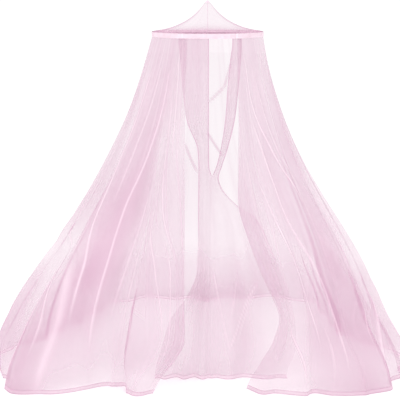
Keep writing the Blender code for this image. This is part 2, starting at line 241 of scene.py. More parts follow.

# ---------------------------------------------------------------- fine pleats and creases
# In how many layers the gathered net lies, by direction, at heights of 180 to 0 cm; round the back it is
# drawn darker in its lowest 20 cm
HEIGHTS = (1.80, 1.50, 1.20, 0.90, 0.60, 0.45, 0.20, 0.00)
Gather = namedtuple("Gather", "degrees h180 h150 h120 h090 h060 h045 h020 h000")
MAIN_GATHER = (
    Gather(-180, 1.7, 1.4, 1.3, 1.6, 1.6, 1.7, 3.2, 3.4),
    Gather(-170, 1.7, 1.4, 1.4, 2.0, 2.0, 1.9, 3.2, 3.4),
    Gather(-120, 1.3, 1.2, 1.2, 1.4, 1.4, 1.5, 2.6, 3.0),
    Gather(-100, 1.6, 1.2, 1.0, 1.2, 1.3, 1.8, 3.0, 3.2),
    Gather(-90, 3.0, 2.6, 2.2, 2.4, 1.7, 2.2, 2.8, 3.0),
    Gather(-80, 2.4, 1.6, 1.2, 1.8, 1.0, 1.9, 3.0, 3.2),
    Gather(-65, 3.4, 2.5, 1.9, 2.0, 1.2, 2.9, 3.0, 2.2),
    Gather(-60, 3.5, 2.9, 2.2, 2.0, 0.8, 0.8, 2.4, 1.4),
    Gather(-55, 3.7, 3.4, 2.9, 2.4, 1.0, 2.6, 2.6, 2.4),
    Gather(-50, 3.5, 3.7, 4.4, 5.6, 3.0, 3.4, 5.6, 5.6),
    Gather(-45, 3.0, 3.4, 4.6, 7.2, 10.0, 5.8, 3.2, 1.4),
    Gather(-40, 3.0, 4.0, 4.6, 5.6, 4.6, 3.9, 2.6, 0.8),
    Gather(-35, 3.8, 4.1, 2.2, 2.7, 1.8, 1.7, 2.6, 1.4),
    Gather(-30, 3.2, 3.0, 2.1, 2.3, 1.8, 1.9, 2.6, 2.0),
    Gather(-24, 1.8, 2.4, 1.8, 1.9, 1.7, 2.1, 2.7, 1.8),
    Gather(-15, 1.2, 1.4, 1.4, 1.9, 2.1, 2.2, 2.5, 1.6),
    Gather(15, 1.2, 1.6, 1.8, 2.6, 2.4, 2.2, 1.9, 1.6),
    Gather(30, 1.4, 2.4, 2.4, 2.4, 2.2, 2.1, 2.5, 1.4),
    Gather(35, 3.0, 2.8, 2.6, 2.5, 2.2, 2.4, 3.0, 2.6),
    Gather(40, 3.0, 3.1, 3.3, 3.2, 1.8, 3.2, 4.4, 3.2),
    Gather(45, 3.2, 3.1, 2.9, 2.8, 4.6, 4.2, 4.8, 5.0),
    Gather(50, 3.4, 2.8, 3.2, 4.0, 5.0, 3.4, 4.4, 2.8),
    Gather(55, 3.0, 2.7, 3.7, 2.8, 1.0, 3.8, 1.8, 1.6),
    Gather(60, 2.6, 2.7, 3.2, 1.3, 0.4, 3.0, 1.6, 1.5),
    Gather(65, 2.3, 2.6, 2.0, 0.8, 0.3, 1.3, 1.6, 0.8),
    Gather(78, 1.8, 1.6, 1.0, 0.9, 1.2, 1.7, 1.9, 1.4),
    Gather(90, 3.0, 2.8, 2.6, 2.6, 3.2, 3.4, 3.6, 3.0),
    Gather(100, 1.4, 1.3, 1.0, 1.2, 2.0, 3.0, 4.4, 4.4),
    Gather(120, 1.3, 1.2, 1.2, 1.4, 1.4, 1.5, 2.6, 3.0),
    Gather(180, 1.7, 1.4, 1.3, 1.6, 1.6, 1.7, 3.2, 3.4),
)
FRONT_GATHER = (
    Gather(-30, 2.6, 1.6, 1.6, 1.2, 0.5, 0.4, 0.4, 0.4),
    Gather(-20, 3.4, 2.6, 1.8, 1.4, 0.7, 0.8, 1.5, 1.9),
    Gather(-12, 3.2, 2.5, 2.0, 2.2, 2.0, 2.0, 1.8, 2.8),
    Gather(-4, 3.0, 2.4, 1.8, 1.4, 1.7, 3.1, 2.7, 2.4),
    Gather(1, 2.9, 2.3, 1.8, 1.3, 1.4, 2.5, 2.6, 2.5),
    Gather(8, 2.9, 2.5, 2.2, 0.8, 1.0, 2.8, 2.6, 2.3),
    Gather(20, 4.0, 2.8, 2.2, 0.8, 0.9, 2.4, 2.9, 2.2),
    Gather(30, 3.0, 2.4, 1.6, 0.8, 0.7, 1.4, 1.4, 0.8),
    Gather(40, 2.0, 2.2, 1.0, 0.6, 0.5, 0.5, 0.4, 0.4),
)
PLEAT_LIFT = 0.010  # how far a fine pleat stands out where it has room
PLEAT_SLOPE = 0.22  # of its width, where it has less
CLEAR_PLEAT = (0.008, 0.026)  # narrower ones than this don't show
MAIN_PLEAT_LAYERS = 0.3  # by how much a fine pleat changes the layers it lies in
FRONT_PLEAT_LAYERS = 0.16
BACK_STAND = 0.4  # how far the back's fine pleats stand out, where the flaps' are 1
FRONT_STAND = 0.4
PLEAT_SHINE = 0.1  # how much painted highlight a fine pleat gets, and how much more on the flaps
FLAP_SHINE = 0.25
FRONT_SHINE = 0.2
FLAPS_END = (60, 105)  # degrees from the front over which the flaps' look fades into the back's
LEAN_SHARE = 0.5  # of a fold's lean, as it hangs
FRONT_PLEATS = 3  # for each fold of the inner panel
STEEPEST_FOLD = 0.6  # depth of the inner panel's folds, at most, for their width
FRONT_SHADE = 0.35  # how dark the inner panel's hem is, where the flaps' is 1
MAIN_PLEAT_SEED = 7
LEFT_PLEAT_SEED = 21
RIGHT_PLEAT_SEED = 22

# The flaps' main creases, as directions at heights of 176, 150, 120, 90, 60, 30 and 0 cm, from
# where each begins to where it ends, in order from the flap's edge outwards. light is how strong
# the painted highlight along it is, and half is half of that highlight line's width in millimetres
Crease = namedtuple("Crease", "begins ends light half d176 d150 d120 d090 d060 d030 d000")
CREASE_HEIGHTS = (1.76, 1.50, 1.20, 0.90, 0.60, 0.30, 0.00)
LEFT_CREASES = (
    Crease(1.74, 1.16, 0.8, 3.5, -28.5, -26.2, -24.5, -17.0, -12.2, -10.6, -20.6),
    Crease(1.50, 0.66, 0.8, 3.0, -31.0, -30.6, -28.9, -24.7, -14.4, -12.6, -21.6),
    Crease(0.74, 0.18, 0.6, 3.5, -31.8, -31.8, -30.4, -27.0, -17.0, -15.0, -22.8),
    Crease(0.94, 0.26, 0.7, 3.5, -32.6, -32.8, -31.8, -29.8, -23.4, -17.8, -25.0),
    Crease(0.58, 0.22, 0.5, 4.0, -33.4, -33.8, -33.2, -32.6, -31.6, -27.0, -27.6),
    Crease(0.76, 0.24, 0.5, 4.0, -34.2, -34.8, -34.8, -34.6, -34.6, -35.0, -33.6),
    Crease(0.98, 0.38, 0.6, 4.0, -35.0, -35.8, -36.6, -36.8, -38.0, -38.6, -37.0),
    Crease(1.64, 0.22, 0.8, 3.5, -36.2, -37.2, -40.2, -43.0, -42.2, -41.2, -39.8),
    Crease(1.66, 0.95, 0.5, 3.5, -44.0, -45.0, -47.0, -47.5, -44.6, -43.4, -42.4),
    Crease(1.62, 0.40, 0.8, 4.5, -57.0, -54.6, -53.0, -51.0, -46.8, -45.0, -44.8),
    Crease(0.66, 0.00, 0.7, 15.0, -60.0, -59.0, -58.0, -57.0, -49.4, -46.8, -47.0),
    Crease(0.94, 0.22, 0.8, 3.5, -66.0, -66.0, -68.0, -72.0, -55.0, -49.4, -49.6),
    Crease(0.60, 0.03, 0.9, 9.0, -74.0, -74.0, -76.0, -78.0, -61.0, -56.0, -53.6),
    Crease(0.40, 0.06, 0.4, 3.5, -80.0, -80.0, -82.0, -83.0, -72.0, -68.0, -62.0),
)
RIGHT_CREASES = (
    Crease(0.46, 0.04, 0.5, 6.0, 31.0, 27.0, 23.0, 21.5, 27.5, 30.6, 29.2),
    Crease(1.20, 0.60, 0.4, 3.5, 32.0, 28.2, 25.6, 26.0, 30.4, 33.6, 31.8),
    Crease(1.04, 0.26, 0.8, 3.5, 33.0, 29.6, 29.4, 32.4, 36.4, 38.8, 35.4),
    Crease(0.34, 0.08, 0.5, 4.0, 34.0, 31.4, 32.4, 35.2, 38.8, 40.2, 38.2),
    Crease(1.34, 0.16, 0.8, 4.0, 35.0, 33.4, 36.3, 38.7, 41.8, 42.2, 41.0),
    Crease(1.72, 0.94, 0.9, 3.0, 37.0, 36.2, 42.0, 50.0, 47.0, 44.6, 43.6),
    Crease(1.60, 1.00, 0.4, 3.5, 44.0, 44.0, 46.6, 55.0, 52.0, 46.6, 45.4),
    Crease(1.74, 1.22, 0.5, 3.5, 62.0, 53.0, 51.0, 60.0, 57.0, 48.6, 47.2),
    Crease(1.00, 0.24, 0.8, 4.5, 72.0, 70.0, 68.0, 66.0, 62.0, 51.6, 49.2),
    Crease(0.50, 0.05, 1.0, 9.0, 77.0, 76.0, 76.0, 75.0, 73.0, 63.0, 54.0),
    Crease(0.50, 0.10, 0.6, 4.0, 82.0, 82.0, 82.0, 82.0, 80.0, 75.0, 70.0),
)
FLAP_SHARE = 0.24  # of the panel's width that follows a flap's creases
CREASE_LIFT = 0.007
CREASE_WIDTH = 0.012
LANE_ROOM = 0.45  # of the narrower lane beside it, that a crease may take
LEAST_ROOM = 0.0005
MAIN_PLEAT_LINES = 80.0  # how many times the pattern of its finest pleats changes across a panel
FRONT_PLEAT_LINES = 3.0
NEAR_CREASE = (0.0, 0.003, 0.006, 0.010)  # how far from a crease the closest columns run
LEFT_COLUMNS = 16  # of the mesh, for each lane between two creases
RIGHT_COLUMNS = 18
BACK_LANES = 28
BACK_COLUMNS = 11
MAIN_ROWS = 128
FRONT_ROWS = 100
LEFT_FRONT_COLUMNS = 70
RIGHT_FRONT_COLUMNS = 80
DOUBLED_AT = (-26.0, 30.0)  # where the skirt's ends are sewn into the casing, in degrees

# The cap: its seams, the gathers at its edge, and in how many layers it lies
GORE_SEAM = 0.0030  # half of its width
SEAM_LIFT = 0.0006
CAP_GATHERS = 37
GATHER_LIFT = 0.0012
CAP_LAYERS = 0.8
SEAM_LAYERS = 0.9  # more at a seam, and so on
SIDE_LAYERS = 3.2
SIDE_NARROWNESS = 24  # a power: the higher, the narrower its left and right seams are
EDGE_LAYERS = 1.9
PEAK_LAYERS = 1.8

PUCKER = 0.0003  # of the casing's tape, at its stitches
HEM_LAYERS = 4.5  # more at a flap's hem, where the bands below are 1
# Across the lowest 25 mm: red is more layers, green more painted highlight
HEM_BANDS = (
    (0.00, (0.9, 0.0, 0.0)),
    (0.14, (0.8, 0.0, 0.0)),
    (0.22, (0.5, 0.45, 0.0)),
    (0.64, (0.5, 0.45, 0.0)),
    (0.72, (0.8, 0.0, 0.0)),
    (0.84, (0.6, 0.0, 0.0)),
    (0.92, (0.0, 0.0, 0.0)),
)

# ---------------------------------------------------------------- camera, as in the photo's view
EYE = (-0.042, -6.5, 2.058)  # its height is above the floor
LOOK_DOWN = math.radians(10.45)
LENS_MM = 104.7
SENSOR_MM = 36

# ---------------------------------------------------------------- colours, sRGB
NET_SHADE = "#D3AEC3"
# the painted highlight: the paler colour the net is drawn in along its creases, pleats and hem bands, and
# the ribbon on its rib crests
NET_PAINTED_HIGHLIGHT = "#F8E2EE"
TAPE_COLOUR = "#D9BECB"
TAPE_PALE = "#EFDCE6"
THREAD_COLOUR = "#F6E3EC"
RIBBON_COLOUR = "#E2B4C8"
TUBE_COLOUR = "#EFE6E9"
FLOOR_COLOUR = "#FBFBFB"

# ---------------------------------------------------------------- light
SKY = 1.08
KEY_WATTS = 90
FILL_WATTS = 40
LAMP_SIZE = 3.0


def linear(colour):
    """An sRGB hex colour as linear red, green, blue and full alpha."""
    channels = [int(colour[i:i + 2], 16) / 255 for i in (1, 3, 5)]
    return (*[c / 12.92 if c <= 0.04045 else ((c + 0.055) / 1.055) ** 2.4 for c in channels], 1.0)


# ---------------------------------------------------------------- shape of the cloth
def curve(rows, key, column, where):
    """A column's values at where, on a smooth curve through the rows that never overshoots them."""
    keys = np.array([getattr(row, key) for row in rows], float)
    values = np.array([getattr(row, column) for row in rows], float)
    steps = np.diff(values) / np.diff(keys)
    before, after = np.r_[steps[0], steps], np.r_[steps, steps[-1]]
    same = before * after > 0
    slopes = np.where(same, 2 * before * after / np.where(same, before + after, 1.0), 0.0)
    where = np.clip(where, keys[0], keys[-1])
    i = np.clip(np.searchsorted(keys, where, side="right") - 1, 0, len(steps) - 1)
    width = keys[i + 1] - keys[i]
    t = (where - keys[i]) / width
    bend = t * t * (3 - 2 * t)
    start = slopes[i] * width * t * (1 - t) ** 2
    end = slopes[i + 1] * width * t * t * (t - 1)
    return values[i] + (values[i + 1] - values[i]) * bend + start + end


def blend(a, b, share):
    return a + (b - a) * share


def ramp(low, high, value):
    """0 below low, 1 above high, and smooth between them."""
    t = np.clip((value - low) / (high - low), 0.0, 1.0)
    return t * t * (3 - 2 * t)


def points(degrees, radius, height):
    """Points turned from the front at heights above the floor, in the model's frame."""
    turn = np.radians(degrees)
    x, y = radius * np.sin(turn), -radius * np.cos(turn)
    return np.stack(np.broadcast_arrays(x, y, height + FLOOR), axis=-1)


def on_facets(degrees, radius):
    """The radius at which the hoop's flat facets pass under this direction."""
    facet = 360 / RING_STEPS
    off = degrees % facet - facet / 2
    return radius * math.cos(math.radians(facet / 2)) / np.cos(np.radians(off))


def flare_at(degrees, height):
    left = curve(FALL, "height", "left", height)
    right = curve(FALL, "height", "right", height)
    return blend(left, right, (1 + np.sin(np.radians(degrees))) / 2)


def wrapped(degrees):
    return (degrees + 180) % 360 - 180


def folded(folds, across):
    """For each place across a panel: its fold's rise, depth, lean and beginning."""
    widths = np.array([fold.width for fold in folds])
    ends = np.cumsum(widths) / widths.sum()
    starts = ends - widths / widths.sum()
    middles = (starts + ends) / 2
    i = np.clip(np.searchsorted(ends, across, side="left"), 0, len(folds) - 1)
    rise = (1 - np.cos(2 * np.pi * (across - starts[i]) / (ends[i] - starts[i]))) / 2
    lean = np.array([fold.lean for fold in folds])[i]
    depth = np.interp(across, middles, [fold.depth for fold in folds])
    begins = np.interp(across, middles, [fold.begins for fold in folds])
    return rise, depth, lean, begins


def in_layers(rows, degrees, height):
    """How many layers the gathered net lies in, from a table by direction and height."""
    total = 0.0
    for order, at in enumerate(HEIGHTS):
        above = HEIGHTS[max(order - 1, 0)]
        below = HEIGHTS[min(order + 1, len(HEIGHTS) - 1)]
        rising = np.clip((height - below) / (at - below), 0, 1) if below < at else 1.0
        falling = np.clip((above - height) / (above - at), 0, 1) if above > at else 1.0
        share = ramp(0, 1, np.minimum(rising, falling))
        total = total + share * curve(rows, "degrees", rows[0]._fields[order + 1], degrees)
    return total


def gathered(lane, height, count, seed):
    """Fine pleats over a panel: how high each place stands, and how much painted highlight it gets."""
    draw = np.random.default_rng(seed)
    lanes = lane.max()
    widths = draw.uniform(0.5, 1.6, count)
    middles = (np.cumsum(widths) - widths / 2) / widths.sum() * lanes
    halves = 0.62 * widths / widths.sum() * lanes
    down = 1 - height / PANEL_TOP
    rise, light = np.zeros((2, *np.broadcast(lane, height).shape))
    for middle, half in zip(middles, halves):
        begins, ends = draw.uniform(-0.3, 0.45), draw.uniform(0.6, 1.5)
        strength, painted_highlight = draw.uniform(0.35, 1.0), draw.uniform(0.0, 1.0) ** 2
        near = np.clip(1 - np.abs(lane - middle) / half, 0.0, 1.0)
        shown = ramp(begins, begins + 0.15, down) * (1 - ramp(ends - 0.3, ends, down))
        rise += strength * shown * near ** 1.4
        light += painted_highlight * shown * near ** 4
    return rise, np.clip(light, 0.0, 1.0)


def stand_out(pleat, breadth, height):
    """How far the fine pleats stand out: less where they are narrow, and flat under the casing."""
    room = np.minimum(PLEAT_LIFT, PLEAT_SLOPE * breadth)
    return (pleat - 0.5) * room * ramp(0.0, 0.25, CLEAR_OF_CASING - height)


def panel_directions(across, height):
    """Directions across the wrap-round panel before it is folded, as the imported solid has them."""
    top, hem = FLAP_EDGES[-1], FLAP_EDGES[0]
    at_top = top.left - across * (360 - top.right + top.left)
    at_hem = hem.left - across * (360 - hem.right + hem.left)
    flare = flare_at(at_top, height)
    degrees = blend(at_top, at_hem, flare)
    left_swing = curve(FLAP_EDGES, "height", "left", height) - blend(top.left, hem.left, flare)
    right_swing = curve(FLAP_EDGES, "height", "right", height) - blend(top.right, hem.right, flare)
    degrees = degrees + left_swing * np.clip(1 - across / EDGE_SHARE, 0, None) ** 2
    degrees = degrees + right_swing * np.clip(1 - (1 - across) / EDGE_SHARE, 0, None) ** 2
    return degrees, flare


Knot = namedtuple("Knot", "height degrees")


def crease_line(crease, height, turn):
    """Where across the panel a crease runs at each height."""
    knots = [Knot(*row) for row in zip(CREASE_HEIGHTS[::-1], crease[:3:-1])]
    degrees = curve(knots, "height", "degrees", height[:, 0]) - turn
    ladder = np.linspace(0.0, 1.0, 721)[None, :]
    found, _ = panel_directions(ladder, height)
    return np.array([np.interp(-d, -row, ladder[0]) for d, row in zip(degrees, found)])


def main_lanes(height):
    """The panel's columns: their place across it at each height, their lane, counted in creases,
    and how broad that lane is."""
    edge, far = np.zeros(len(height)), np.full(len(height), FLAP_SHARE)
    left = [edge, *[crease_line(c, height, 0) for c in LEFT_CREASES], far]
    right = [1 - far, *[crease_line(c, height, 360) for c in RIGHT_CREASES[::-1]], 1 - edge]
    back = list(np.linspace(far, 1 - far, BACK_LANES + 1))
    lines = left + back[1:-1] + right
    counts = [LEFT_COLUMNS] * (len(left) - 1) + [BACK_COLUMNS] * BACK_LANES
    counts += [RIGHT_COLUMNS] * (len(right) - 1)
    _, flare = panel_directions(np.zeros((1, 1)), height)
    girth = 2 * math.pi * blend(MAIN_TOP_RADIUS, 1.1, flare[:, 0])
    across, lane, breadth = [], [], []
    for order, (line, beyond, count) in enumerate(zip(lines, lines[1:], counts)):
        wide = np.maximum((beyond - line) * girth, 0.0)
        closest = len(NEAR_CREASE)
        for step in range(count):
            even = step / count
            off = even * wide
            if count > BACK_COLUMNS and step < closest:
                off = np.minimum(NEAR_CREASE[step], even * wide)
            if count > BACK_COLUMNS and count - step < closest:
                off = wide - np.minimum(NEAR_CREASE[count - step], (1 - even) * wide)
            across.append(line + off / girth)
            lane.append(order + off / np.maximum(wide, 1e-4))
            breadth.append(wide)
    across.append(lines[-1])
    lane.append(np.full(len(height), float(len(counts))))
    breadth.append(wide)
    return np.array(across).T, np.array(lane).T, np.array(breadth).T


def creased(lane, breadth, height):
    """The main creases: how high they stand and the painted highlight along them."""
    rise, light = np.zeros((2, *lane.shape))
    last = lane.max()
    placed = [(order + 1, crease) for order, crease in enumerate(LEFT_CREASES)]
    placed += [(last - order - 1, crease) for order, crease in enumerate(RIGHT_CREASES)]
    for middle, crease in placed:
        before, after = (np.argmin(np.abs(lane[0] - middle - side)) for side in (-0.5, 0.5))
        narrower = np.minimum(breadth[:, before], breadth[:, after])
        room = np.maximum(LANE_ROOM * narrower, LEAST_ROOM)[:, None]
        shown = ramp(crease.ends - 0.06, crease.ends + 0.12, height)
        shown = shown * (1 - ramp(crease.begins - 0.12, crease.begins + 0.04, height))
        shown = shown * (np.abs(lane - middle) < 1)
        off = (lane - middle) * np.maximum(breadth, 0.001)
        ridge, line = np.minimum(CREASE_WIDTH, room), np.minimum(crease.half / 1000, room)
        rise += ridge / CREASE_WIDTH * shown * np.exp(-(off / ridge) ** 2)
        light += crease.light * shown * np.exp(-(off / line) ** 2)
    return rise, np.clip(light, 0.0, 1.0)


def main_rows():
    """Heights of the wrap-round panel's rows, top to bottom, closer together at its two ends."""
    fall = np.linspace(CLEAR_OF_CASING, HEM_HEIGHT, MAIN_ROWS - 3)
    return np.r_[PANEL_TOP, fall, HEM_HEIGHT / 2, 0.0][:, None]


def main_panel():
    """The wrap-round panel: a grid of points with its layers, painted highlight and places on its pleats."""
    height = main_rows()
    across, lane, breadth = main_lanes(height)
    rise, depth, lean, begins = folded(MAIN_FOLDS, across)
    degrees, flare = panel_directions(across, height)
    down = 1 - height / PANEL_TOP
    grown = np.clip((down - begins) / (1 - begins), 0.0, None) * (flare > 0)
    reach = curve(HEM_LINE, "degrees", "reach", wrapped(degrees))
    radius = blend(on_facets(degrees, MAIN_TOP_RADIUS), reach, flare)
    pleat, painted_highlight = gathered(lane, height, int(lane.max()), MAIN_PLEAT_SEED)
    stood, light = creased(lane, breadth, height)
    clear = ramp(*CLEAR_PLEAT, breadth)
    layers = in_layers(MAIN_GATHER, wrapped(degrees), height)
    layers = layers * (1 + MAIN_PLEAT_LAYERS * clear * (pleat - 0.5))
    away = np.abs(wrapped(degrees))
    radius = radius + (rise - 0.5) * depth * grown
    degrees = degrees + np.degrees(LEAN_SHARE * lean * rise * grown / radius)
    shaded = 1 - ramp(*FLAPS_END, away)
    standing = BACK_STAND + (1 - BACK_STAND) * shaded
    radius = radius + standing * clear * stand_out(pleat, breadth, height)
    radius = radius + stood * CREASE_LIFT * (flare > 0)
    light = np.clip(np.maximum(light, (PLEAT_SHINE + FLAP_SHINE * shaded) * clear * painted_highlight), 0.0, 1.0)
    layers = layers + slanting(BACK_FOLDS, degrees % 360, radius, height)
    return points(degrees, radius, height), layers, light, across * MAIN_PLEAT_LINES, shaded


def rolled_edges(start, end, across, wide, height):
    """How much of the panel's cut edges shows, rolled up on itself, where it hangs open."""
    open_at = {
        "left": ramp(0.70, 0.85, height) * (1 - ramp(1.30, 1.45, height)),
        "part_left": ramp(1.05, 1.09, height),
        "part_right": ramp(1.05, 1.09, height),
        "right": ramp(0.72, 0.84, height),
    }
    near_start, near_end = across * wide / ROLL, (1 - across) * wide / ROLL
    return np.exp(-near_start ** 2) * open_at[start] + np.exp(-near_end ** 2) * open_at[end]


def slanting(folds, degrees, radius, height):
    """How strongly thin folds that run aslant show at each place."""
    total = 0.0
    for fold in folds:
        down = (fold.high - height) / (fold.high - fold.low)
        off = np.radians(degrees - blend(fold.high_degrees, fold.low_degrees, down)) * radius
        aslant = np.radians(fold.low_degrees - fold.high_degrees) * radius / (fold.high - fold.low)
        off = off / np.sqrt(1 + aslant ** 2)
        shown = ramp(-0.08, 0.12, down) * (1 - ramp(0.88, 1.08, down))
        total = np.maximum(total, fold.strength * shown * np.exp(-(off / fold.half) ** 2))
    return total


def front_side(start, end, depth_name, count, columns, height, seed):
    """One stretch of the inner front panel, between two of its edges."""
    across = np.linspace(0.0, 1.0, columns)[None, :]
    rise, _, _, _ = folded([Fold(1, 1, 0, 0)] * count, across)
    depth = curve(FRONT_SECTIONS, "height", depth_name, height)
    left = curve(FRONT_SECTIONS, "height", start, height)
    right = curve(FRONT_SECTIONS, "height", end, height)
    degrees = blend(left, right, across)
    hem = FRONT_HEM_REACH / np.cos(np.radians(degrees))
    radius = blend(on_facets(degrees, FRONT_TOP_RADIUS), hem, flare_at(degrees, height))
    pleats = count * FRONT_PLEATS
    pleat, painted_highlight = gathered(across * count, height, pleats, seed)
    inner = ramp(0.0, 0.12, np.minimum(across, 1 - across))
    wide = np.radians(right - left) * radius
    clear = ramp(*CLEAR_PLEAT, wide / pleats)
    depth = np.minimum(depth, STEEPEST_FOLD * wide / count)
    stood = FRONT_STAND * clear * stand_out(pleat, wide / pleats, height)
    radius = radius + inner * ((rise - 0.5) * depth + stood)
    layers = in_layers(FRONT_GATHER, degrees, height)
    layers = layers * (1 + FRONT_PLEAT_LAYERS * clear * (pleat - 0.5))
    layers = layers + ROLL_LAYERS * rolled_edges(start, end, across, wide, height)
    # painted highlight along its fine pleats and the thin folds that cross them
    light = np.maximum(FRONT_SHINE * clear * painted_highlight, slanting(CROSSING_FOLDS, degrees, radius, height))
    lines = across * FRONT_PLEAT_LINES * count
    return points(degrees, radius, height), layers, light, lines, FRONT_SHADE


def front_panel():
    """The inner front panel's two stretches, left and right of its parting."""
    fall = np.linspace(CLEAR_OF_CASING, HEM_HEIGHT, FRONT_ROWS - 3)
    height = np.r_[PANEL_TOP, fall, HEM_HEIGHT / 2, 0.0][:, None]
    left = front_side(
        "left", "part_left", "fold_left", LEFT_FOLDS, LEFT_FRONT_COLUMNS, height, LEFT_PLEAT_SEED)
    right = front_side(
        "part_right", "right", "fold_right", RIGHT_FOLDS, RIGHT_FRONT_COLUMNS, height, RIGHT_PLEAT_SEED)
    return left, right


CapPlace = namedtuple("CapPlace", "order radius height dip")


def cap_surface():
    """The cap as rings of points from its sewn edge to its peak, with fine radial gathers."""
    share = np.linspace(0.0, 1.0, 49)[:, None]
    turn = np.linspace(0.0, 360.0, 289)[None, :-1]
    order = np.arange(len(CAP), dtype=float)
    places = [CapPlace(*row) for row in zip(order, *zip(*CAP))]
    where = share * order[-1]
    radius = curve(places, "order", "radius", where)
    height = curve(places, "order", "height", where)
    dip = curve(places, "order", "dip", where)
    dips = dip * np.sin(np.radians(turn) * GORES / 2) ** 2
    from_seam = np.abs(wrapped(turn * GORES) / GORES) * np.pi / 180 * radius
    seam = 1 - ramp(0.0, GORE_SEAM, from_seam)
    side = np.abs(np.sin(np.radians(turn)))
    felled = SEAM_LAYERS * seam + SIDE_LAYERS * side ** SIDE_NARROWNESS
    gather = np.sin(np.radians(turn) * CAP_GATHERS + 1.3 * np.sin(np.radians(turn) * 5))
    near_edge = 1 - ramp(0.0, 0.45, share)
    lift = GATHER_LIFT * gather * near_edge * ramp(0.0, 0.05, share) + SEAM_LIFT * seam
    grid = points(turn, radius, height - dips + lift)
    layers = CAP_LAYERS + felled + EDGE_LAYERS * near_edge + PEAK_LAYERS * ramp(0.78, 1.0, share)
    # the seams get a faint painted highlight
    return grid, layers, 0.25 * seam, turn / 9, 0.0


def casing_surface():
    """The tape folded over the hoop: up its outside, over the top and down inside, a little puckered
    by its stitches, and doubled where the two ends of the skirt are sewn in."""
    inner = HOOP_RADIUS - HOOP_TUBE - GAP - TAPE
    low, low_inside = CASING_TOP - CASING_HEIGHT, CASING_TOP - CASING_INNER_HEIGHT
    fold = 0.0015
    profile = (
        (CASING_RADIUS, low),
        (CASING_RADIUS, low + 0.003),
        (CASING_RADIUS, low + 0.008),
        (CASING_RADIUS, low + 0.016),
        (CASING_RADIUS, CASING_TOP - fold),
        (CASING_RADIUS - 0.3 * fold, CASING_TOP - 0.3 * fold),
        (CASING_RADIUS - fold, CASING_TOP),
        (inner + fold, CASING_TOP),
        (inner + 0.3 * fold, CASING_TOP - 0.3 * fold),
        (inner, CASING_TOP - fold),
        (inner, low_inside),
    )
    turn = np.linspace(0.0, 360.0, 721)[None, :-1]
    angle = np.radians(turn)
    pucker = np.sin(97 * angle + 2.2 * np.sin(7 * angle))
    pucker = pucker + 0.7 * np.sin(151 * angle + 3.1 * np.sin(4 * angle))
    radius, height = (np.array(side)[:, None] for side in zip(*profile))
    outside = 1 - ramp(0.004, 0.020, height - low)
    doubled = sum(np.exp(-(wrapped(turn - at) / 1.3) ** 2) for at in DOUBLED_AT)
    radius = radius + PUCKER * pucker * outside - 0.0002 * outside
    height = height + PUCKER * pucker * (height < low + 0.001)
    return points(turn, radius, height), 0, doubled, 0, 0


def loop_surface():
    """The ribbon of the hanging loop, a tall ring on the peak with its edges a little turned up."""
    turn = np.radians(np.linspace(0.0, 360.0, 73))[:-1][None, :]
    side = np.linspace(-1.0, 1.0, 7)[:, None]
    curl = 0.0004 * side ** 4
    wide, tall = LOOP_WIDTH / 2 - 0.0005 + curl, LOOP_HEIGHT / 2 - 0.0005 + curl
    x = wide * np.cos(turn)
    z = tall * np.sin(turn) + FLOOR + LOOP_BASE + LOOP_HEIGHT / 2
    y = side * RIBBON_WIDTH / 2 + 0 * turn
    return np.stack((x, y, z), axis=-1), 0, 0, 0, 0


# ---------------------------------------------------------------- meshes
def store(mesh, name, values):
    layer = mesh.attributes.new(name, "FLOAT", "POINT")
    layer.data.foreach_set("value", np.ascontiguousarray(values, np.float32).ravel())


def sheet_mesh(name, parts, closed=False):
    """A sheet of cloth from grids of points, each with its layers, light, pleats and hem. A closed
    one goes round. Grids that meet lie edge to edge."""
    corners, faces, cloth = [], [], []
    marks = {"layers": [], "light": [], "pleats": [], "hem": []}
    start = 0
    for grid, *values in parts:
        rows, columns = grid.shape[:2]
        index = np.arange(rows * columns).reshape(rows, columns) + start
        beside = np.roll(index, -1, axis=1) if closed else index[:, 1:]
        first = index if closed else index[:, :-1]
        quads = np.stack((first[:-1], first[1:], beside[1:], beside[:-1]), axis=-1)
        faces.append(quads.reshape(-1, 4))
        corners.append(grid.reshape(-1, 3))
        for mark, value in zip(marks.values(), values):
            mark.append(np.broadcast_to(value, (rows, columns)).ravel())
        cloth.append(cloth_places(grid).reshape(-1, 2))
        start += rows * columns
    mesh = bpy.data.meshes.new(name)
    mesh.from_pydata(np.concatenate(corners).tolist(), [], np.concatenate(faces).tolist())
    for mark, values in marks.items():
        store(mesh, mark, np.concatenate(values))
    spread = np.concatenate(cloth)
    flat = mesh.uv_layers.new(name="cloth")
    ids = np.zeros(len(mesh.loops), np.int32)
    mesh.loops.foreach_get("vertex_index", ids)
    flat.data.foreach_set("uv", spread[ids].astype(np.float32).ravel())
    mesh.shade_smooth()
    made = bpy.data.objects.new(name, mesh)
    bpy.context.scene.collection.objects.link(made)
    return made


def cloth_places(grid):
    """Each point's place on the flat cloth in metres: across from the left edge, up from the hem."""
    across = np.linalg.norm(np.diff(grid, axis=1), axis=-1)
    wide = np.concatenate((np.zeros((grid.shape[0], 1)), np.cumsum(across, axis=1)), axis=1)
    along = np.linalg.norm(np.diff(grid, axis=0), axis=-1).mean(axis=1)
    up = np.r_[np.cumsum(along[::-1])[::-1], 0.0]
    return np.stack((wide, np.broadcast_to(up[:, None], wide.shape)), axis=-1)


# ---------------------------------------------------------------- materials
def add(tree, kind, inputs=None, **settings):
    """Adds a node with its settings, and joins or sets its inputs by name or number."""
    node = tree.nodes.new(kind)
    for name, value in settings.items():
        setattr(node, name, value)
    for socket, value in (inputs or {}).items():
        if isinstance(value, bpy.types.Node):
            value = value.outputs[0]
        if isinstance(value, bpy.types.NodeSocket):
            tree.links.new(value, node.inputs[socket])
        else:
            node.inputs[socket].default_value = value
    return node


